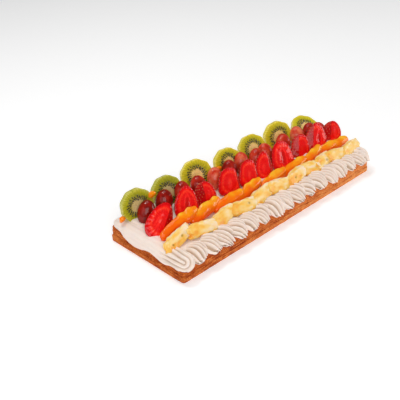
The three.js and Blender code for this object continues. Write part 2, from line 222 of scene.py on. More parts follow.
def slab_outline(share, out):
    """The rounded rectangle of the slab, grown by out: share is the length along it, from 0 to 1,
    and each point is the nearest one on a smaller rectangle plus the corner radius outwards."""
    length, width = SLAB_HALF_LENGTH - SLAB_CORNER, SLAB_HALF_WIDTH - SLAB_CORNER
    arc = math.pi / 2 * SLAB_CORNER
    sides = np.array([2 * width, arc, 2 * length, arc, 2 * width, arc, 2 * length, arc])
    knots = np.concatenate([[0], np.cumsum(sides)])
    run = share * knots[-1]
    corner_x = np.array([length, length, length, -length, -length, -length, -length, length, length])
    corner_y = np.array([-width, width, width, width, width, -width, -width, -width, -width])
    x = np.interp(run, knots, corner_x)
    y = np.interp(run, knots, corner_y)
    turn = np.interp(run, knots, np.array([0, 0, 1, 1, 2, 2, 3, 3, 4]) * math.pi / 2)
    return x + (SLAB_CORNER + out) * np.cos(turn), y + (SLAB_CORNER + out) * np.sin(turn)


share = np.linspace(0, 1, SLAB_AROUND, endpoint=False)[None, :]
height = np.linspace(0, SLAB_HEIGHT, SLAB_ROWS)[:, None]
x, y = slab_outline(share, 0)
place = np.stack(np.broadcast_arrays(x, y, height), -1)
waver = cloud(place * [1, 1, 0], 26) * 0.9 + cloud(place * [1, 1, 0], 9, 1) * 0.4
layer = (height - FOOT_HEIGHT + waver) / (SLAB_HEIGHT - FOOT_HEIGHT) * LAYER_COUNT
# Each layer bulges as a half sine over its height and stands out by its own noise
edge = np.abs(np.sin(layer * math.pi)) ** 0.6
own = cloud(np.stack([place[..., 0], place[..., 1], np.floor(layer) * 7], -1), 11, 2)
foot = height < FOOT_HEIGHT
foot_lines = 0.35 * np.sin(height * 3.4 + waver * 2)
foot_flake = 0.45 + foot_lines + 0.2 * cloud(place * [1, 1, 3], 7, 3)
flake = np.where(foot, foot_flake, edge * (0.65 + 0.55 * own) - 0.25)
blister = cloud(place, 5, 4) * 0.25 + cloud(place, 2.2, 5) * 0.18
top_round = np.clip((height - SLAB_HEIGHT + TOP_ROUND) / TOP_ROUND, 0, 1) ** 2
foot_round = np.clip((FOOT_ROUND - height) / FOOT_ROUND, 0, 1) ** 2
standing_out = flake * np.where(foot, FOOT_RELIEF, LAYER_RELIEF) - np.where(foot, FOOT_INSET, LAYER_INSET)
out = standing_out + blister - 1.6 * top_round - 0.5 * foot_round
x, y = slab_outline(share, out)
side = np.stack(np.broadcast_arrays(x, y, height + 0 * out), -1)
shrink = np.array([0.96, 0.7, 0.35])[:, None, None]
underside = side[0] * shrink[::-1]
underside[..., 2] = 0
top_side = side[-1] * shrink
top_side[..., 2] = SLAB_HEIGHT
rings = np.concatenate([underside, side, top_side])
slab = closed_tube(rings, (0, 0, 0), (0, 0, SLAB_HEIGHT))
# The relief is kept for each point as flake, and the crust darkens with it as painted shade in the gaps
plain = np.full((3, SLAB_AROUND), 0.3)
relief = np.concatenate([plain, flake + blister, plain])

baked, tree, shader = finish("baked_puff_pastry", 0.6, Specular_IOR_Level=0.1)
place_value = object_place(tree)
grits = grain(tree, place_value, 420, (1, 1, 1.4), 2)
tone = scaled(tree, grain(tree, place_value, 60, (1, 1, 12)), 1.1, -0.78)
tone = scaled(tree, grain(tree, place_value, 30, (1, 1, 2)), 0.3, tone)
tone = scaled(tree, grits, 0.7, tone)
# Darker where the relief sinks between the layers: painted shade in the gaps
tone = scaled(tree, attribute(tree, "flake"), 0.42, tone)
# Paler towards the back and the far end
apart = add(tree, "ShaderNodeSeparateXYZ", {0: place_value})
tone = scaled(tree, apart.outputs[1], 0.9, tone)
tone = scaled(tree, apart.outputs[0], 0.95, tone)
crust = ramp(tree, tone, [
    (0.0, (0.30, 0.040, 0.004)),
    (0.25, (0.54, 0.115, 0.016)),
    (0.5, (0.72, 0.215, 0.045)),
    (0.85, (0.90, 0.40, 0.12)),
])
paint(tree, shader, crust)
bump(tree, shader, grits, 0.8, 0.0012)
piece("pastry_slab", [slab], [baked], ["pastry_base"],
      {"flake": np.concatenate([relief.ravel(), [0.3, 0.3]])})

# Whipped cream bed: spread on the slab under the fruit, smooth, a little uneven and sloping up to
# the back, where the fruit stands highest.
BED_HALF_LENGTH = 186
BED_FRONT, BED_BACK = -50, 54
BED_FOOT = 24.3
BED_FRONT_TOP, BED_BACK_TOP = 31, 38
BED_EDGE, BED_EDGE_DROP = 4, 2.5
# The cream squeezed up in front of the strawberries and behind the grapes: height, y, width
BED_SQUEEZED, BED_HUMPS = (5, -10, 6), (2.5, 22, 7)
whipped, tree, shader = finish("whipped_cream", 0.45, Specular_IOR_Level=0.3, Subsurface_Weight=0.2,
                               Subsurface_Scale=0.0015, Subsurface_Radius=(1.0, 0.75, 0.55))
place_value = object_place(tree)
# Darker and warmer down the piped grooves: painted shade in the valleys, with some random tone
deep = scaled(tree, grain(tree, place_value, 60), 0.3, attribute(tree, "groove"))
groove_shaded_cream = ramp(tree, deep, [(0.1, (0.94, 0.81, 0.73)), (0.6, (0.84, 0.69, 0.58)), (1.0, (0.56, 0.38, 0.26))])
paint(tree, shader, groove_shaded_cream)
bump(tree, shader, grain(tree, place_value, 500, (1, 1, 1), 2), 0.15, 0.0004)

u = np.linspace(-1, 1, 240)[None, :]
v = np.linspace(-1, 1, 70)[:, None]
half_width = (BED_BACK - BED_FRONT) / 2
x, y = np.broadcast_arrays(BED_HALF_LENGTH * u, (BED_BACK + BED_FRONT) / 2 + half_width * v)
slope = BED_FRONT_TOP + (BED_BACK_TOP - BED_FRONT_TOP) * (v + 1) / 2
past_end = np.clip((np.abs(u) - 1) * BED_HALF_LENGTH / BED_EDGE + 1, 0, 1)
past_side = np.clip((np.abs(v) - 1) * half_width / BED_EDGE + 1, 0, 1)
drop = BED_EDGE_DROP * np.clip(past_end ** 2 + past_side ** 2, 0, 1.4)
place = np.stack([x, y, 0 * x], -1)
(squeezed, squeezed_y, squeezed_width), (humps, humps_y, humps_width) = BED_SQUEEZED, BED_HUMPS
swell = squeezed * np.exp(-((y - squeezed_y) / squeezed_width) ** 2) * (0.6 + 0.8 * cloud(place, 9, 7))
swell = swell + humps * np.exp(-((y - humps_y) / humps_width) ** 2) * cloud(place, 9, 8)
top = slope - 0.6 + cloud(place, 14) * 0.5 + swell - drop
grid = np.stack(np.broadcast_arrays(x, y, top), -1)


def block(surface, foot):
    """A surface over a grid, closed by a wall down from its rim to a level foot."""
    rows, columns = surface.shape[:2]
    number = np.arange(rows * columns).reshape(rows, columns)
    quads = np.stack([number[:-1, :-1], number[:-1, 1:], number[1:, 1:], number[1:, :-1]], -1)
    loop = np.concatenate([number[0], number[1:, -1], number[-1, -2::-1], number[-2:0:-1, 0]])
    points = surface.reshape(-1, 3)
    below = points[loop] * [1, 1, 0] + [0, 0, foot]
    under = len(points) + np.arange(len(loop))
    wall = np.stack([loop, under, np.roll(under, -1), np.roll(loop, -1)], -1)
    centre = below.mean(0)
    fan = np.stack([under, np.full(len(loop), len(points) + len(loop)), np.roll(under, -1)], -1)
    return np.concatenate([points, below, [centre]]), np.concatenate([quads.reshape(-1, 4), wall]), fan


piece("cream_spread", [block(grid, BED_FOOT)], [whipped], ["cream_bed"], {"groove": 0.1})

# Piped ropes over the short ends: cream pressed flat over the edge, with fine lines along its length
# from the nozzle and a wavy lower edge that hangs over the slab. The near one ends in a round curl
# over the corner, where the lines run round its end and back.
ROPE_X, ROPE_Z = 189, 27
ROPE_OUT, ROPE_IN, ROPE_RISE = 14.5, 13, 8
ROPE_FRONT, ROPE_BACK = -67, 69
ROPE_MIDDLE = (ROPE_FRONT + ROPE_BACK) / 2
ROPE_SQUARE_OVER, ROPE_SQUARE_UNDER = 2.3, 3.6
ROPE_BACK_TAPER = 0.35
ROPE_AROUND, ROPE_ROWS, CURL_ROWS = 280, 170, 50
ROPE_LINE_TURN, ROPE_LINE_DEPTH, ROPE_LINE_SHADE = 0.56, 0.19, 0.8
ROPE_LINES_FROM, ROPE_LINES_OVER, ROPE_FAINT = -20, 26, 0.15
DRIP_DEPTH, DRIP_WAVE, DRIP_PERIOD, DRIP_PHASE = 12.5, 3.7, 58, 8
DRIP_END, DRIP_LEAST = 44, 2
CURL_X, CURL_Y, CURL_Z = -190, -61, 24.5
CURL_RADIUS = 14
CURL_FROM, CURL_BLEND = -34, 26
CURL_POLE = np.array((-0.605, -0.594, 0.530))


def circle(count):
    """Angles round a circle, as one row."""
    return np.linspace(0, 2 * math.pi, count, endpoint=False)[None, :]


def capped(rings):
    """A closed surface from loops in order, with its end loops closed at their middles."""
    return closed_tube(rings, rings[0].mean(0), rings[-1].mean(0))


def smooth_step(t):
    """From 0 to 1 as t goes from 0 to 1, level at both ends."""
    t = np.clip(t, 0, 1)
    return t * t * (3 - 2 * t)


def drip_depth(y):
    """How far the cream hangs over the slab at a place across it: a wave that ends at the back."""
    wave = DRIP_DEPTH - DRIP_WAVE * np.cos(2 * math.pi * (y + DRIP_PHASE) / DRIP_PERIOD)
    return wave + (DRIP_LEAST - wave) * smooth_step((y - DRIP_END + 4) / 8)


def rope_section(angle):
    """The cosine, the sine and the reach of a squarish oval: the reach keeps |x| ** p + |z| ** p at 1,
    with a larger power below, where the cream lies flat on the slab."""
    c, s = np.cos(angle), np.sin(angle)
    power = np.where(s < 0, ROPE_SQUARE_UNDER, ROPE_SQUARE_OVER)
    return c, s, (np.abs(c) ** power + np.abs(s) ** power) ** (-1 / power)


def rope_taper(y):
    """The share of the section that is left: drawn in towards the back, and round at both ends."""
    along = (y - ROPE_MIDDLE) / (ROPE_BACK - ROPE_MIDDLE)
    back = 1 - ROPE_BACK_TAPER * np.clip(along, 0, 1) ** 6
    return back * np.sqrt(np.clip(1.0004 - along ** 24, 0, 1))


def valley(turn, place):
    """A groove between rounded ridges, 1 at its bottom: the angle from the middle line of the piped
    cream counted in ridge widths, with a slow drift along the cream."""
    return 1 - np.abs(np.cos(math.pi * (turn / ROPE_LINE_TURN + 0.35 * cloud(place, 30, 3)))) ** 1.4


def near_rope():
    """Sections along Y turn from the flat rope to the round of the curl, and half a ball ends them.
    Lines keep their angle from a middle line that stops at CURL_POLE, so they run round it."""
    angle = circle(ROPE_AROUND)
    straight = np.linspace(ROPE_BACK, CURL_Y, ROPE_ROWS)
    stations = np.concatenate([straight, np.full(CURL_ROWS, CURL_Y)])[:, None]
    quarter = np.linspace(0, math.pi / 2, CURL_ROWS + 1)[1:]
    dip = np.concatenate([np.zeros(ROPE_ROWS), quarter])[:, None]
    c, s, square = rope_section(angle)
    under = ROPE_Z - (SLAB_HEIGHT - drip_depth(stations))
    taper = rope_taper(np.maximum(stations, ROPE_MIDDLE))
    flat = np.stack([-ROPE_X + square * c * np.where(c < 0, ROPE_OUT - 1, ROPE_IN) * taper,
                     ROPE_Z + square * s * np.where(s > 0, ROPE_RISE, under) * taper], -1)
    round_one = np.stack([CURL_X + CURL_RADIUS * c * np.cos(dip),
                          CURL_Z + CURL_RADIUS * s * np.cos(dip)], -1)
    blend = smooth_step((CURL_FROM - stations) / CURL_BLEND)[..., None]
    xz = flat + (round_one - flat) * blend
    y = np.broadcast_to(stations - CURL_RADIUS * np.sin(dip), xz.shape[:2])
    ahead = np.stack(np.broadcast_arrays(c * np.cos(dip), -np.sin(dip), s * np.cos(dip)), -1)
    level = np.array((0, 1, 0))
    normal = np.cross(level, CURL_POLE)
    normal /= np.linalg.norm(normal)
    onward = -level - CURL_POLE * (-level @ CURL_POLE)
    beside = np.arcsin(np.clip(np.abs(ahead @ normal), 0, 1))
    beyond = np.arccos(np.clip(ahead @ CURL_POLE, -1, 1))
    turn = np.where((ahead @ onward > 0) & (stations <= CURL_Y), beyond, beside)
    surface = np.stack([xz[..., 0], y, xz[..., 1]], -1)
    strength = ROPE_FAINT + (1 - ROPE_FAINT) * smooth_step((ROPE_LINES_FROM - stations) / ROPE_LINES_OVER)
    groove = valley(turn, surface) * np.clip(turn / 0.2, 0, 1) * strength
    uneven = 0.035 * cloud(surface, 17, 5) + 0.012 * cloud(surface, 6, 6)
    middle = np.stack(np.broadcast_arrays(CURL_X, stations + 0 * y, CURL_Z), -1)
    surface = middle + (surface - middle) * (0.99 - ROPE_LINE_DEPTH * groove + uneven)[..., None]
    return capped(surface), np.append(ROPE_LINE_SHADE * groove.ravel(), [0, 0])


def far_rope():
    """The same section along Y, turned end for end, with faint lines."""
    angle = circle(ROPE_AROUND)
    y = np.linspace(ROPE_FRONT, ROPE_BACK, ROPE_ROWS)[:, None]
    c, s, square = rope_section(angle)
    taper = rope_taper(y)
    x = square * c * np.where(c < 0, ROPE_OUT, ROPE_IN) * taper
    z = square * s * np.where(s > 0, ROPE_RISE, ROPE_Z - (SLAB_HEIGHT - drip_depth(y))) * taper
    place = np.stack(np.broadcast_arrays(x, y, z), -1)
    groove = valley(np.abs(angle - 2.4) + 0 * y, place) * ROPE_FAINT * 3
    grow = 0.99 - ROPE_LINE_DEPTH * groove + 0.03 * cloud(place, 17, 6)
    rings = np.stack([ROPE_X - grow * place[..., 0], -place[..., 1], ROPE_Z + grow * place[..., 2]], -1)
    return capped(rings), np.append(groove.ravel(), [0, 0])


part, groove = near_rope()
piece("cream_rope_and_curl", [part], [whipped], ["cream_rope_near"], {"groove": groove})
part, groove = far_rope()
piece("cream_rope_back", [part], [whipped], ["cream_rope_far"], {"groove": groove})

# Piped shells down both long sides: each is pressed from a star nozzle beside the fruit and drawn out
# over the slab's edge towards the far end, so its ridges fan out, curve and end in points. The last one
# on each side is smaller and turned over the far corner.
SHELL_COUNT = 16
SHELL_FIRST, SHELL_PITCH, SHELL_DRIFT, SHELL_DRIFT_STEP = -168, 24.9, 1.5, 2.4
SHELL_CORNER_X, SHELL_CORNER_TURN, SHELL_CORNER_SIZE = 190, -45, 0.74
SHELL_Y, SHELL_Z, SHELL_TURN, SHELL_TURN_VARIES = 59.5, 27, -26, 5
SHELL_BEND, SHELL_ROLL, SHELL_SCALLOP = 3.5, 3, 0.24
SHELL_RIDGES, SHELL_VALLEY, SHELL_TOOTH = 5.3, 4.4, 4.4
SHELL_ROWS, SHELL_AROUND, SHELL_SMOOTHING = 44, 140, 3
# Along the shell: distance outwards from its middle, height from its middle, half width, thickness
SHELL_PATH = np.array([
    (-13.0, 1.6, 9.0, 2.4),
    (-10.0, 2.8, 12.6, 4.0),
    (-5.0, 3.4, 15.2, 5.4),
    (0.0, 3.0, 16.8, 6.4),
    (5.0, 0.8, 16.8, 6.2),
    (9.0, -2.4, 15.4, 4.8),
    (12.0, -5.8, 13.0, 3.2),
    (13.4, -8.4, 10.6, 1.6),
])


def shell(x, side, turn, number, size=1):
    """One shell: a section carried along SHELL_PATH, its upper half ridged like a comb. Each ridge has
    its own height and reaches its own way past the valleys beside it at the lower edge. The edge is
    round, the ridges curve towards the far end, and that side lies higher, over the next shell."""
    rows = np.linspace(0, 1, SHELL_ROWS)
    knots = np.linspace(0, 1, len(SHELL_PATH))
    path = np.stack([np.interp(rows, knots, SHELL_PATH[:, k]) for k in range(4)], -1)
    for _ in range(SHELL_SMOOTHING):
        path[1:-1] = (path[:-2] + 2 * path[1:-1] + path[2:]) / 4
    slope = np.gradient(path[:, :2], axis=0)
    slope /= np.linalg.norm(slope, axis=1, keepdims=True)
    angle = circle(SHELL_AROUND)
    c, s = np.cos(angle), np.sin(angle)
    t = rows[:, None]
    here = t - SHELL_SCALLOP * c ** 2 * smooth_step((t - 0.4) / 0.6)
    out, up, half, thick, slope_out, slope_up = (np.interp(here, rows, v) for v in (*path.T, *slope.T))
    upper = s > 0
    wander = 0.8 * np.sin(2.6 * t + number) + 0.5 * np.sin(4 * c + number * 2.1)
    count = c * SHELL_RIDGES + 0.7 * math.sin(number * 1.7) + wander
    own = np.sin(np.round(count / 2) * 12.9 + number * 7.7)
    groove = np.sin(count * math.pi / 2) ** 2 * np.minimum(1, t / 0.1) * upper
    ridged = 0.7 * own * (1 - groove) - SHELL_VALLEY * groove
    fade = np.minimum(1, np.abs(s) * 3) * np.minimum(1, thick / 4)
    body = 1 + 0.1 * math.sin(number * 2.9)
    above = np.abs(s) ** 0.8 * thick * body + ridged * fade
    lift = np.where(upper, above, -0.8 * thick * np.abs(s) ** 0.7)
    reach = SHELL_TOOTH * (0.1 - groove + 0.4 * own * (1 - groove)) * np.sqrt(np.abs(s))
    tooth = np.where(upper, reach * smooth_step((t - 0.72) / 0.28), 0)
    bend = (1.8 * math.sin(number * 2.3) - side * SHELL_BEND) * t ** 2
    lx = size * (c * half * (1 + 0.06 * np.sin(3 * t + number)) + bend)
    ly = -(out - lift * slope_up + tooth * slope_out)
    lz = up + lift * slope_out + tooth * slope_up - side * SHELL_ROLL * c
    lean = math.radians(turn + (0 if side < 0 else 180))
    px = x + lx * math.cos(lean) - ly * math.sin(lean)
    py = side * SHELL_Y + lx * math.sin(lean) + ly * math.cos(lean)
    rings = np.stack([px, py, SHELL_Z + lz], -1)
    return capped(rings), np.append(groove.ravel(), [0, 0])


BORDERS = (
    (-1, "cream_shell_border_front", "cream_shells_front"),
    (1, "cream_shell_border_back", "cream_shells_back"),
)
for side, name, node in BORDERS:
    forms = []
    for i in range(SHELL_COUNT - 1):
        x = SHELL_FIRST + i * SHELL_PITCH + SHELL_DRIFT * math.sin(i * SHELL_DRIFT_STEP)
        turn = side * SHELL_TURN + SHELL_TURN_VARIES * math.sin(i * 3.1 + side)
        forms.append(shell(x, side, turn, i + side))
    turn = side * SHELL_CORNER_TURN
    forms.append(shell(SHELL_CORNER_X, side, turn, SHELL_COUNT, SHELL_CORNER_SIZE))
    piece(name, [merged([part for part, _ in forms])], [whipped], [node],
          {"groove": np.concatenate([groove for _, groove in forms])})

# Kiwi slices: peeled, cut across, standing along the back. Green flesh with a pale core, dark seeds
# set in the flesh round it, all under clear glaze.
KIWI_THICKNESS = 8
KIWI_CUTS, KIWI_CUT_DEPTH, KIWI_OVAL = 9, 0.02, 0.015
# Shares of the radius: the face without its edge, the edge, the core, and from one ring of seeds to the next
KIWI_FACE, KIWI_EDGE, KIWI_CORE, KIWI_RING_STEP = 0.95, 0.05, 0.43, 0.09
KIWI_EDGE_DROP, KIWI_DISH, KIWI_SUNK = 0.9, 0.25, 0.3
KIWI_SEEDS, KIWI_SEED_SIZE = 70, (1.5, 0.7, 0.7)
SEED_AROUND, SEED_RINGS = 8, 5
# Centre x, y, z, diameter, then lean back, roll to the side, turn in degrees, and how ripe it is
KIWIS = (
    (-170, 48, 51, 47, 14, 0, -12, 0.15),
    (-119, 44, 51, 47, 22, 4, -9, 0.0),
    (-59, 47, 51, 47, 22, -3, -24, 0.9),
    (-1, 41, 50, 45, 22, 6, -14, 0.9),
    (52, 40, 52, 46, 30, 0, -18, 0.75),
    (112, 42, 51, 47, 18, -5, -18, 1.0),
    (173, 35, 45, 48, 62, 3, -6, 0.8),
)


def set_down(part, centre, lean, roll, turn):
    """A part moved to its centre after it is rolled about Y, leant back about X and turned about Z."""
    points, quads, fans = part
    turned = Matrix.Rotation(math.radians(turn), 3, "Z") @ Matrix.Rotation(-math.radians(lean), 3, "X")
    turned = turned @ Matrix.Rotation(math.radians(roll), 3, "Y")
    return points @ np.array(turned).T + centre, quads, fans


def kiwi_radius(angle, diameter):
    """The peeled outline: a circle with shallow flats and a slight oval."""
    return diameter / 2 * (1 + KIWI_CUT_DEPTH * np.cos(KIWI_CUTS * angle) + KIWI_OVAL * np.cos(2 * angle))


def kiwi_slice(diameter):
    """A disc about Y whose profile runs over the front face, round the edge and over the back."""
    angle = circle(96)
    half = KIWI_THICKNESS / 2
    front = np.linspace(0.05, KIWI_FACE, 22)
    bend = np.linspace(0, math.pi / 2, 6)[1:]
    edge = KIWI_FACE + KIWI_EDGE * np.sin(bend)
    profile = np.concatenate([front, edge, edge[::-1], front[::-1]])[:, None]
    drop = KIWI_EDGE_DROP * (1 - np.cos(bend))
    dish = KIWI_DISH * np.cos(front * 9) * (front < 0.8)
    face = -half + KIWI_SUNK
    depth = np.concatenate([face + dish, face + drop, half - drop[::-1], half + 0 * front])
    radius = kiwi_radius(angle, diameter)
    rings = np.stack([profile * radius * np.cos(angle), depth[:, None] + 0 * radius,
                      profile * radius * np.sin(angle)], -1)
    return closed_tube(rings, (0, -half + 0.55, 0), (0, half, 0))


def unit_ball(around, rings):
    """Points of a unit sphere as loops round Y, from the +Y pole to the -Y pole."""
    polar = np.linspace(0, math.pi, rings + 2)[1:-1, None]
    angle = circle(around)
    return np.cos(angle) * np.sin(polar), np.cos(polar) + 0 * angle, np.sin(angle) * np.sin(polar)


def ball(centre, sizes, axes):
    """A seed: a small ellipsoid of the given half sizes along three axes."""
    unit = np.stack(unit_ball(SEED_AROUND, SEED_RINGS), -1)
    points, quads, fans = closed_tube(unit, (0, 1, 0), (0, -1, 0))
    return points * sizes @ np.array(axes) + centre, quads, fans


def kiwi_seeds(diameter, number):
    """Seeds in three loose rings round an oval core, each lying along its radius in the front face."""
    chance = np.random.default_rng(100 + number)
    seeds = []
    for i in range(KIWI_SEEDS):
        angle = 2 * math.pi * (i + chance.uniform(-0.4, 0.4)) / KIWI_SEEDS
        core = KIWI_CORE + 0.05 * math.cos(2 * angle + number)
        share = core + KIWI_RING_STEP * (i % 3) + chance.uniform(-0.03, 0.05)
        r = diameter / 2 * share
        out = np.array([math.cos(angle), 0, math.sin(angle)])
        centre = r * out + [0, -KIWI_THICKNESS / 2 + 0.05 + 0.12 * math.cos(share * 9), 0]
        axes = [out, (0, -1, 0), np.cross(out, (0, 1, 0))]
        seeds.append(ball(centre, KIWI_SEED_SIZE, axes))
    return merged(seeds)


def face_rays(tree, middle):
    """Two links for a pattern about the middle of a cut face in its UV map: the distance from the
    middle, and a place made of the angle and that distance, in which a grain runs out as rays."""
    face = add(tree, "ShaderNodeUVMap", uv_map="UVMap").outputs[0]
    centred = add(tree, "ShaderNodeMapping", {"Vector": face, "Location": (-middle, -middle, 0)}).outputs[0]
    apart = add(tree, "ShaderNodeSeparateXYZ", {0: centred})
    far = add(tree, "ShaderNodeVectorMath", {0: centred}, operation="LENGTH").outputs["Value"]
    sides = {0: apart.outputs[1], 1: apart.outputs[0]}
    turn = add(tree, "ShaderNodeMath", sides, operation="ARCTAN2").outputs[0]
    return far, add(tree, "ShaderNodeCombineXYZ", {0: turn, 1: far}).outputs[0]


kiwi_flesh, tree, shader = finish("kiwi_flesh", 0.35, Specular_IOR_Level=0.1, Subsurface_Weight=0.15,
                                  Subsurface_Scale=0.002, Subsurface_Radius=(0.8, 1.0, 0.2),
                                  Coat_Weight=0.4, Coat_Roughness=0.06)
place_value = object_place(tree)
far, spoke_place = face_rays(tree, 0.5)
spokes = grain(tree, spoke_place, 6, (3.2, 1.2, 1), 4)
wobble = grain(tree, place_value, 120)
ragged = scaled(tree, spokes, 0.14, scaled(tree, far, 1.8, -0.1))
uneven = scaled(tree, wobble, 0.06, ragged)
flesh = ramp(tree, uneven, [
    (0.26, (0.98, 0.62, 0.26)),
    (0.36, (0.86, 0.58, 0.18)),
    (0.43, (0.48, 0.34, 0.05)),
    (0.58, (0.46, 0.37, 0.015)),
    (0.68, (0.60, 0.50, 0.018)),
    (0.84, (0.70, 0.56, 0.03)),
    (0.93, (0.84, 0.70, 0.14)),
])
streaks = ramp(tree, spokes, [
    (0.35, (0.66, 0.76, 0.55)),
    (0.5, (0.95, 0.95, 0.85)),
    (0.66, (1.18, 1.14, 1.5)),
])
streaked = mixed(tree, 1.0, flesh, streaks, "MULTIPLY")
by_slice = ramp(tree, attribute(tree, "ripe"), [(0.0, (0.68, 0.80, 0.9)), (1.0, (1.12, 1.12, 1.0))])
paint(tree, shader, mixed(tree, 1.0, streaked, by_slice, "MULTIPLY"))
bump(tree, shader, mixed(tree, 0.5, spokes, wobble), 0.5, 0.0009)
seed_skin, tree, shader = finish("kiwi_seed", 0.25, Coat_Weight=0.6)
speck = grain(tree, object_place(tree), 700)
paint(tree, shader, ramp(tree, speck, [(0.3, (0.006, 0.004, 0.003)), (0.8, (0.03, 0.018, 0.008))]))

for i, (x, y, z, diameter, lean, roll, turn, ripeness) in enumerate(KIWIS):
    disc = kiwi_slice(diameter)
    seeds = kiwi_seeds(diameter, i)
    local = np.concatenate([disc[0], seeds[0]])
    placed = [set_down(part, (x, y, z), lean, roll, turn) for part in (disc, seeds)]
    piece(f"kiwi_slice_{i + 1}", placed, [kiwi_flesh, seed_skin], [f"kiwi_{i + 1}"],
          {"ripe": ripeness}, local[:, [0, 2]] / diameter + 0.5)

# Grape halves: large red grapes cut lengthwise and stood on end with the skin outwards. The skin is
# thin, dark and shiny where it is ripe, and lets the light flesh show through where it isn't.
GRAPE_WIDTH, GRAPE_DEPTH, GRAPE_CUT_BULGE = 24, 12, 1.2
# Centre x, y, z, length, lean, roll, turn, and how pale the skin is from 0 to 1
GRAPES = (
    (-168, 32, 46, 34, 27, 14, -36, 0.08),
    (-134, 34, 47, 33, 27, 10, -34, 0.15),
    (-101, 32, 47, 33, 29, 3, -20, 0.35),
    (-74, 28, 47, 32, 27, -3, -26, 0.35),
    (-43, 26, 47, 34, 25, 2, -24, 0.75),
    (-12, 27, 47, 32, 28, 6, -18, 0.3),
    (17, 31, 47, 32, 26, 2, -24, 0.7),
    (41, 22, 47, 33, 27, 5, -28, 0.55),
    (65, 26, 46, 31, 29, -4, -20, 0.65),
    (104, 24, 47, 33, 27, 4, -26, 0.5),
    (139, 25, 47, 32, 28, -2, -22, 0.8),
    (165, 21, 45, 32, 26, 4, -24, 0.3),
    (183, 17, 42, 30, 24, 3, -30, 0.4),
)


def grape_half(length):
    """An ellipsoid on end, its skin side full and its cut side nearly flat."""
    x, y, z = unit_ball(72, 44)
    depth = np.where(z < 0, GRAPE_CUT_BULGE, GRAPE_DEPTH - GRAPE_CUT_BULGE)
    rings = np.stack([x * GRAPE_WIDTH / 2, -z * depth, y * length / 2], -1)
    return closed_tube(rings, (0, 0, length / 2), (0, 0, -length / 2))


grape_skin, tree, shader = finish("grape_skin", 0.3, Specular_IOR_Level=0.05, Subsurface_Weight=0.15,
                                  Subsurface_Scale=0.002, Subsurface_Radius=(1.0, 0.25, 0.12),
                                  Coat_Weight=0.5, Coat_Roughness=0.05)
place_value = object_place(tree)
veins = grain(tree, place_value, 110, (1, 1, 0.3), 4)
ripe = scaled(tree, attribute(tree, "pale"), 1.0, scaled(tree, veins, 1.3, -0.62))
skin = ramp(tree, ripe, [
    (0.0, (0.17, 0.003, 0.001)),
    (0.3, (0.34, 0.008, 0.003)),
    (0.65, (0.62, 0.036, 0.014)),
    (1.0, (0.84, 0.20, 0.09)),
])
paint(tree, shader, skin)
bump(tree, shader, grain(tree, place_value, 220, (1, 1, 0.5)), 0.25, 0.0006)

for i, (x, y, z, length, lean, roll, turn, paleness) in enumerate(GRAPES):
    half = set_down(grape_half(length), (x, y, z), lean, roll, turn)
    piece(f"grape_half_{i + 1}", [half], [grape_skin], [f"grape_{i + 1}"], {"pale": paleness})

# Strawberry halves: cut lengthwise and stood tip up, most with the cut face outwards. The skin is
# set with small seeds, and the cut face has a paler band inside the skin and a soft hollow core.
STRAWBERRY_DEPTH, STRAWBERRY_CUT_BULGE = 14, 1.4
STRAWBERRY_MIDDLE, STRAWBERRY_TAPER, STRAWBERRY_SHOULDER = 1.06, 0.3, 0.15
# Centre x, y, z, length, lean, roll, turn, width, depth of the hollow in the cut face, how flat the
# tip is, and where the skin starts beside the cut face: right of it above 0, left of it below 0
STRAWBERRIES = (
    (-169, 2, 47, 52, 40, 38, -20, 33, 0.3, 0.1, 0.35),
    (-118, 6, 50, 46, 28, 12, -12, 34, 1.1, 0.0, 0.8),
    (-84, 4, 50, 36, 18, -6, -16, 27, 0.2, 0.2, -0.15),
    (-38, 3, 50, 40, 20, 8, -10, 34, 0.3, 0.8, 0.7),
    (-2, -1, 50, 40, 22, 9, -10, 30, 0.2, 0.9, 0.75),
    (30, -3, 50, 42, 26, 8, -14, 29, 0.2, 0.1, 0.45),
    (72, -2, 49, 46, 30, 8, -8, 38, 1.4, 0.4, 0.85),
    (116, -2, 46, 42, 20, 6, -16, 27, 0.0, 1.0, -0.35),
    (157, 0, 48, 46, 24, 12, -12, 33, 1.0, 0.0, -0.45),
    (189, -5, 48, 34, 12, 2, -24, 28, 0.3, 0.0, -0.2),
)
STRAWBERRY_TURN_BACK = 0.55
STRAWBERRY_SEED_ROWS, STRAWBERRY_SEEDS_AROUND = 9, 18
STRAWBERRY_SEED_SIZE, STRAWBERRY_SEED_STEP = (0.85, 0.25, 0.5), 0.02


def strawberry_point(x, y, z, size):
    """A point of the half from a point of the unit ball: wide below, narrow at the tip, which is
    squared off by the flatness. Past the place where the skin starts the front bends back."""
    length, width, flat, skin_from = size
    power = 2 + 2.5 * flat
    square_reach = (np.abs(x) ** power + np.abs(y) ** power + 1e-9) ** (1 / power)
    square = np.where(y > 0, np.hypot(x, y) / square_reach, 1)
    x, y = x * square, y * (1 + (square - 1) * 0.4)
    shoulder = np.where(y < 0, np.maximum(1 - y ** 2, 1e-6) ** -STRAWBERRY_SHOULDER, 1)
    narrow = (STRAWBERRY_MIDDLE - STRAWBERRY_TAPER * y) * shoulder
    depth = np.where(z > 0, STRAWBERRY_CUT_BULGE, STRAWBERRY_DEPTH - STRAWBERRY_CUT_BULGE)
    past = np.maximum(x - skin_from, 0) if skin_from > 0 else np.maximum(skin_from - x, 0)
    back = past * (z > -0.3) * width / 2 * STRAWBERRY_TURN_BACK
    return np.stack([x * narrow * width / 2, back - z * narrow * depth, np.clip(y, -1, 1) * length / 2], -1)


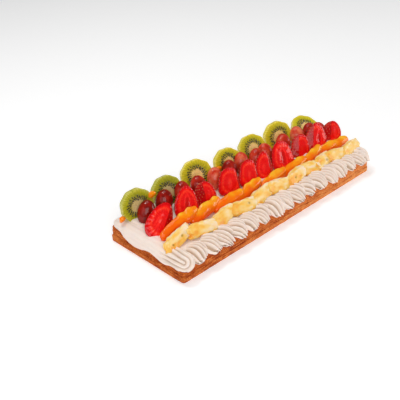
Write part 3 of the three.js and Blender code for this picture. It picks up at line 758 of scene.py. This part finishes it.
def strawberry_half(size, hollow):
    """The half with its core pressed in along the middle of the cut face. Returns it with its flat
    map, how far each point belongs to the cut face, and how deep it lies in the hollow."""
    x, y, z = unit_ball(120, 80)
    length, width, _, skin_from = size
    points = strawberry_point(x, y, z, size)
    middle = 0
    if skin_from < 0:
        middle = skin_from / 2 + 0.4
    elif skin_from < 0.6:
        middle = skin_from / 2 - 0.4
    core = np.exp(-(((x - middle) / 0.2) ** 2 + ((y + 0.1) / 0.45) ** 2)) * (z > 0)
    on_cut = (z > 0) & ((x < skin_from) if skin_from > 0 else (x > skin_from))
    ripple = 0.22 * np.cos(22 * np.arctan2(y, x)) * on_cut * np.clip(np.hypot(x, y) - 0.3, 0, 1)
    dents = 0.3 * cloud(points, 4.5, 2) * np.clip(1.2 - np.abs(y), 0, 1)
    points[..., 1] += core * hollow * STRAWBERRY_CUT_BULGE + ripple + dents
    local = np.stack([x, y], -1).reshape(-1, 2)
    part = closed_tube(points, (0, 0, length / 2), (0, 0, -length / 2))
    local = np.concatenate([local, [(0, 1), (0, -1)]])
    return part, local, np.append(on_cut.ravel() * 1.0, [0, 0]), np.append((core * hollow).ravel(), [0, 0])


def strawberry_seeds(size, number):
    """Seeds over the skin in slanting rows, each a small drop lying flat in the skin."""
    chance = np.random.default_rng(300 + number)
    skin_from = size[3]
    seeds = []
    for row in range(STRAWBERRY_SEED_ROWS):
        y = 0.86 - row * 0.2
        ring = math.sqrt(1 - y * y)
        for k in range(STRAWBERRY_SEEDS_AROUND):
            step = k + 0.5 * (row % 2) + 0.25 + chance.uniform(-0.12, 0.12)
            angle = 2 * math.pi * step / STRAWBERRY_SEEDS_AROUND
            unit = np.array([ring * math.cos(angle), y, ring * math.sin(angle)])
            beside = unit[0] > skin_from + 0.08 if skin_from > 0 else unit[0] < skin_from - 0.08
            if unit[2] > -0.04 and not beside:
                continue
            here = strawberry_point(*unit, size)
            onward = angle + STRAWBERRY_SEED_STEP
            across = strawberry_point(ring * math.cos(onward), y, ring * math.sin(onward), size) - here
            above = y + STRAWBERRY_SEED_STEP
            higher = math.sqrt(1 - above ** 2)
            up = strawberry_point(higher * math.cos(angle), above, higher * math.sin(angle), size) - here
            across /= np.linalg.norm(across)
            up -= across * (up @ across)
            up /= np.linalg.norm(up)
            seeds.append(ball(here, STRAWBERRY_SEED_SIZE, [up, np.cross(up, across), across]))
    return merged(seeds)


strawberry_flesh, tree, shader = finish("strawberry_flesh", 0.35, Specular_IOR_Level=0.05,
                                        Subsurface_Weight=0.15, Subsurface_Scale=0.0015,
                                        Subsurface_Radius=(1.0, 0.2, 0.12),
                                        Coat_Weight=0.4, Coat_Roughness=0.05)
place_value = object_place(tree)
far, spoke_place = face_rays(tree, 0)
fibres = grain(tree, spoke_place, 7, (2.2, 0.7, 1))
ragged = scaled(tree, fibres, 0.2, far)
inside = ramp(tree, ragged, [
    (0.10, (0.84, 0.014, 0.010)),
    (0.38, (0.86, 0.006, 0.006)),
    (0.66, (0.88, 0.006, 0.006)),
    (0.80, (1.0, 0.035, 0.014)),
    (0.90, (0.92, 0.006, 0.005)),
    (1.0, (0.66, 0.001, 0.003)),
])
threads = ramp(tree, fibres, [(0.38, (0.84, 0.5, 0.5)), (0.52, (1, 1, 1)), (0.68, (1.12, 3.4, 3.0))])
threaded = mixed(tree, 0.8, inside, threads, "MULTIPLY")
# A pale ring round the core is the flesh's own; darker down in the hollow is painted shade
core_ring_and_hollow_shade = ramp(tree, attribute(tree, "pit"), [
    (0.08, (1, 1, 1)),
    (0.22, (1.25, 4.0, 3.0)),
    (0.5, (0.9, 0.9, 0.9)),
    (0.95, (0.7, 0.45, 0.45)),
])
cut_colour = mixed(tree, 0.85, threaded, core_ring_and_hollow_shade, "MULTIPLY")
mottle = grain(tree, place_value, 90)
skin_colour = ramp(tree, mottle, [(0.3, (0.40, 0.001, 0.004)), (0.7, (0.66, 0.004, 0.005))])
paint(tree, shader, mixed(tree, attribute(tree, "cut"), skin_colour, cut_colour))
bump(tree, shader, grain(tree, place_value, 380), 0.5, 0.0011)
seed_coat, tree, shader = finish("strawberry_seed", 0.4, Coat_Weight=0.5)
speck = grain(tree, object_place(tree), 500)
paint(tree, shader, ramp(tree, speck, [(0.3, (0.42, 0.06, 0.012)), (0.7, (0.70, 0.20, 0.04))]))

for i, (x, y, z, length, lean, roll, turn, width, hollow, flat, skin_from) in enumerate(STRAWBERRIES):
    size = length, width, flat, skin_from
    part, local, cut_face, depth_in_core = strawberry_half(size, hollow)
    seeds = strawberry_seeds(size, i)
    placed = [set_down(p, (x, y, z), lean, roll, turn) for p in (part, seeds)]
    nothing = np.zeros(len(seeds[0]))
    values = {"cut": np.append(cut_face, nothing), "pit": np.append(depth_in_core, nothing)}
    piece(f"strawberry_half_{i + 1}", placed, [strawberry_flesh, seed_coat], [f"strawberry_{i + 1}"],
          values, np.concatenate([local, np.stack([nothing, nothing], -1)]))

# Peach slices: thick crescents of soft tinned peach, laid like shingles, each raised end over the low
# end of the next. Smooth and wet, deep orange below and yellow along the thin ragged upper edge.
PEACH_HEIGHT, PEACH_DEPTH = 18, 13
PEACH_FULLNESS, PEACH_SAG, PEACH_TIP_RISE, PEACH_BACK = 0.25, 2.5, 1, 0.8
# Centre x, y, z, length, lean, roll, turn
PEACHES = (
    (-154, -15, 45, 70, 24, -10, -2),
    (-106, -16, 42, 62, 22, -6, 4),
    (-64, -20, 40, 58, 24, -5, -3),
    (-24, -20, 40, 58, 22, -7, 3),
    (27, -22, 37, 60, 24, -5, 2),
    (72, -22, 38, 60, 22, -6, -3),
    (115, -22, 38, 56, 24, -13, 3),
    (168, -21, 36, 72, 22, 0, -6),
)


def peach_slice(length, number):
    """A crescent along X: a ball drawn out, one end bent down and one bent up, thin along the top. Noise
    tears the top edge, and long shallow waves run along its side. Returns it with its rise, which
    grows from the deep orange foot to the yellow edge."""
    x, along, z = unit_ball(108, 140)
    full = np.maximum(1 - along ** 2, 1e-6) ** -PEACH_FULLNESS
    side = np.stack([along * length / 2, x * 6, z * 4 + number * 9], -1)
    tear = cloud(side, 8, 3) * np.clip(x + 0.2, 0, 1)
    wave = 1 + 0.12 * cloud(side, 9, 1) + 0.06 * cloud(side * [0.35, 1, 1], 2.4, 2)
    thin = np.where(x > 0, 1 - 0.25 * x, 1)
    skin = np.where(z < 0, 1, PEACH_BACK) * thin
    sag = np.where(along < 0, PEACH_SAG, -PEACH_TIP_RISE) * along ** 2
    points = np.stack([along * length / 2 * 0.985, z * full * skin * PEACH_DEPTH / 2 * wave,
                       x * full * wave * (1.03 + 0.24 * tear) * PEACH_HEIGHT / 2 - sag], -1)
    part = closed_tube(points, (length / 2 * 0.99, 0, PEACH_TIP_RISE), (-length / 2 * 0.99, 0, -PEACH_SAG))
    rise = 0.42 + 0.014 * number + 0.26 * x + 0.16 * along + 0.3 * tear
    return part, np.append(rise.ravel(), [0.5, 0.3])


peach_flesh, tree, shader = finish("peach_flesh", 0.3, Specular_IOR_Level=0.05, Subsurface_Weight=0.15,
                                   Subsurface_Scale=0.003, Subsurface_Radius=(1.0, 0.45, 0.1),
                                   Coat_Weight=0.45, Coat_Roughness=0.06)
place_value = object_place(tree)
fibre = grain(tree, place_value, 90, (0.5, 1, 1.6), 4)
tone = scaled(tree, attribute(tree, "rise"), 1.0, scaled(tree, fibre, 0.7, -0.35))
colour = ramp(tree, tone, [
    (0.1, (0.92, 0.09, 0.001)),
    (0.42, (0.97, 0.15, 0.001)),
    (0.62, (0.97, 0.27, 0.002)),
    (0.85, (0.98, 0.46, 0.02)),
])
paint(tree, shader, colour)
bump(tree, shader, grain(tree, place_value, 240, (0.6, 1, 1.4)), 0.6, 0.0014)

for i, (x, y, z, length, lean, roll, turn) in enumerate(PEACHES):
    crescent, rise = peach_slice(length, i)
    crescent = set_down(crescent, (x, y, z), lean, roll, turn)
    piece(f"peach_slice_{i + 1}", [crescent], [peach_flesh], [f"peach_{i + 1}"], {"rise": rise})

# Scraps of peach behind the grapes: torn bits pressed into the gaps between the kiwi slices.
# Centre x, y, z and half size
SCRAPS = ((-196, 48, 41, 4), (-148, 42, 61, 4.5), (-24, 38, 50, 4.5), (26, 36, 50, 4))
bits = []
for i, (x, y, z, half) in enumerate(SCRAPS):
    u, v, w = unit_ball(28, 18)
    form = np.stack([u * 1.3, v * 0.8, w], -1)
    form = form * (1 + 0.25 * cloud(form + i * 3, 0.7, i))[..., None] * half
    bits.append(capped(form + [x, y, z]))
piece("peach_scraps", [merged(bits)], [peach_flesh], [], {"rise": 0.55})

# Pineapple pieces: wedges of tinned pineapple laid along the front. Pale yellow fibrous flesh with
# worn edges and a few brown eyes.
PINEAPPLE_HEIGHT, PINEAPPLE_DEPTH = 19, 14
PINEAPPLE_SQUARE, PINEAPPLE_WORN = 9, 0.13
PINEAPPLE_MIDDLE, PINEAPPLE_TAPER, PINEAPPLE_BOW = 0.82, 0.18, 2
# How far an end reaches past its place: the right end, the left end, and the left end of the first piece
LAP_RIGHT, LAP_LEFT, LAP_FIRST = 1.14, 1.1, 0.97
# Centre x, y, z, length, lean, roll, turn
PINEAPPLES = (
    (-177, -33, 38, 50, 28, -12, 4),
    (-136, -38, 38, 44, 30, 6, -6),
    (-97, -38, 37, 44, 26, -8, 3),
    (-59, -40, 37, 42, 30, 5, -4),
    (-21, -39, 37, 44, 28, -6, 5),
    (17, -39, 37, 44, 26, 6, -3),
    (54, -40, 37, 40, 30, -8, 4),
    (86, -39, 37, 40, 28, 5, -5),
    (116, -40, 37, 38, 30, -6, 3),
    (146, -42, 37, 38, 26, 6, -4),
    (180, -44, 36, 40, 28, -3, 2),
)
# Brown eyes on the front of a piece: piece number, place along it and up it, each from -1 to 1
EYES = ((0, 0.29, 0.05), (0, -0.51, 0.01), (3, 0.4, 0.3), (6, -0.2, 0.1), (8, 0.3, -0.1))
EYE_RADIUS, EYE_DEPTH = 1.7, 0.8


def pineapple_piece(length, number):
    """A block along X from a ball pushed out to a rounded cube, longer than its place so that its torn
    ends lap over the next ones. Each eye is a shallow pit. Returns it with its tone and its eyes."""
    z, x, y = unit_ball(132, 120)
    power = PINEAPPLE_SQUARE
    reach = (np.abs(x) ** power + np.abs(y) ** power + np.abs(z) ** power) ** (1 / power)
    x, y, z = x / reach, y / reach, z / reach
    edges = (x * y) ** 2 + (y * z) ** 2 + (x * z) ** 2
    round_off = 1 - PINEAPPLE_WORN * edges
    place = np.stack([x * length / 2, y * PINEAPPLE_DEPTH / 2, z * PINEAPPLE_HEIGHT / 2 + number * 31], -1)
    slanted = place + place[..., 2:] * [0.4, 0, 0]
    fibre = cloud(slanted * [0.5, 1, 0.7], 2.1)
    lump = cloud(place * [0.6, 1, 1], 6.0, 1)
    torn_edge = cloud(slanted * [0.4, 1, 1], 3.0, 4) * np.abs(z) ** 5
    torn = cloud(place * [0.3, 1, 1], 3.2, 2) * np.abs(x) ** 6
    grow = round_off * (1 + 0.05 * fibre + 0.07 * lump + 0.16 * torn_edge)
    taper = PINEAPPLE_MIDDLE - PINEAPPLE_TAPER * z
    eye = 0 * x
    for owner, ex, ez in EYES:
        if owner == number:
            away = np.hypot((x - ex) * length / 2, (z - ez) * PINEAPPLE_HEIGHT / 2)
            eye = eye + np.exp(-(away / EYE_RADIUS) ** 2) * (y < 0)
    lap = np.where(x > 0, LAP_RIGHT, LAP_LEFT if number else LAP_FIRST)
    points = np.stack([x * grow * (lap + 0.12 * torn) * length / 2,
                       y * grow * taper * PINEAPPLE_DEPTH / 2 - PINEAPPLE_BOW * x ** 2 + EYE_DEPTH * eye,
                       z * grow * PINEAPPLE_HEIGHT / 2], -1)
    # Lighter towards the raised right end and the top, darker at the low left end under the piece before:
    # painted highlight and shade over the fibre and lumps, which are the flesh's own mottling
    tone = 0.48 + 0.24 * fibre + 0.34 * lump + 0.24 * x + 0.1 * z
    return capped(points), np.append(tone.ravel(), [0.5, 0.5]), np.append(eye.ravel(), [0, 0])


pineapple_flesh, tree, shader = finish("pineapple_flesh", 0.45, Specular_IOR_Level=0.1,
                                       Subsurface_Weight=0.3, Subsurface_Scale=0.003,
                                       Subsurface_Radius=(1.0, 0.7, 0.25),
                                       Coat_Weight=0.25, Coat_Roughness=0.12)
place_value = object_place(tree)
fibre = grain(tree, place_value, 110, (0.6, 1, 1), 4)
tone = scaled(tree, attribute(tree, "tone"), 1.0, scaled(tree, fibre, 0.8, -0.4))
# The palest stop carries the painted whitish highlight on the raised ends
colour = ramp(tree, tone, [
    (0.05, (0.94, 0.40, 0.05)),
    (0.36, (0.97, 0.55, 0.10)),
    (0.62, (0.98, 0.66, 0.24)),
    (0.95, (0.98, 0.76, 0.52)),
])
paint(tree, shader, mixed(tree, attribute(tree, "eye"), colour, (0.42, 0.26, 0.03)))
bump(tree, shader, fibre, 0.4, 0.0008)

for i, (x, y, z, length, lean, roll, turn) in enumerate(PINEAPPLES):
    wedge, tone, eye = pineapple_piece(length, i)
    wedge = set_down(wedge, (x, y, z), lean, roll, turn)
    piece(f"pineapple_piece_{i + 1}", [wedge], [pineapple_flesh], [f"pineapple_{i + 1}"],
          {"tone": tone, "eye": eye})

# Floor: a wide plain pale sheet that the cake stands on.
bpy.ops.mesh.primitive_plane_add(size=12, location=(0, 0, 0))
floor = bpy.context.object
floor.name = "floor"
paper, _, _ = finish("pale_floor", 0.9, Base_Color=(0.93, 0.93, 0.93, 1), Specular_IOR_Level=0.0,
                     Emission_Color=(1, 1, 1, 1), Emission_Strength=0.25)
floor.data.materials.append(paper)

# Studio light: a large softbox overhead and behind with a small one beside it for glints, one above the
# camera, one to each side, and a dim white room all round, so that the wet fruit keeps its colour.
LIGHT_AIM = (0, 0, 0.03)


def softbox(name, place, width, depth, watts):
    """A rectangular area light that faces the cake."""
    lamp = bpy.data.lights.new(name, "AREA")
    lamp.shape = "RECTANGLE"
    lamp.size, lamp.size_y, lamp.energy = width, depth, watts
    made = bpy.data.objects.new(name, lamp)
    made.location = place
    made.rotation_euler = (Vector(LIGHT_AIM) - Vector(place)).to_track_quat("-Z", "Y").to_euler()
    bpy.context.collection.objects.link(made)


softbox("overhead", (0.1, 0.45, 1.35), 1.0, 0.8, 6)
softbox("glint", (-0.25, 0.35, 1.1), 0.14, 0.14, 2.0)
softbox("left_front", (-1.4, -0.2, 0.8), 1.2, 1.2, 4)
softbox("front", (-1.0, -1.3, 1.2), 1.3, 1.3, 17)
softbox("right", (1.5, -0.9, 0.35), 1.2, 0.7, 12)
world = bpy.data.worlds.new("studio")
bpy.context.scene.world = world
world.use_nodes = True
background = world.node_tree.nodes["Background"]
background.inputs["Color"].default_value = (1, 1, 1, 1)
background.inputs["Strength"].default_value = 0.16
bpy.context.scene.view_settings.view_transform = "Standard"

# Camera: a long lens from the near left, looking down on the cake's front and near short end.
CAMERA_PLACE = (-0.7532, -0.6420, 0.6221)
CAMERA_AZIMUTH, CAMERA_ELEVATION = math.radians(-45.507), math.radians(32.036)
SENSOR_WIDTH, LENS = 36, 72.47
camera = bpy.data.cameras.new("camera")
camera.sensor_width = SENSOR_WIDTH
camera.lens = LENS
view = bpy.data.objects.new("camera", camera)
bpy.context.collection.objects.link(view)
view.location = CAMERA_PLACE
level = math.cos(CAMERA_ELEVATION)
back = Vector((math.sin(CAMERA_AZIMUTH) * level, -math.cos(CAMERA_AZIMUTH) * level,
               math.sin(CAMERA_ELEVATION)))
view.rotation_euler = (-back).to_track_quat("-Z", "Y").to_euler()
bpy.context.scene.camera = view
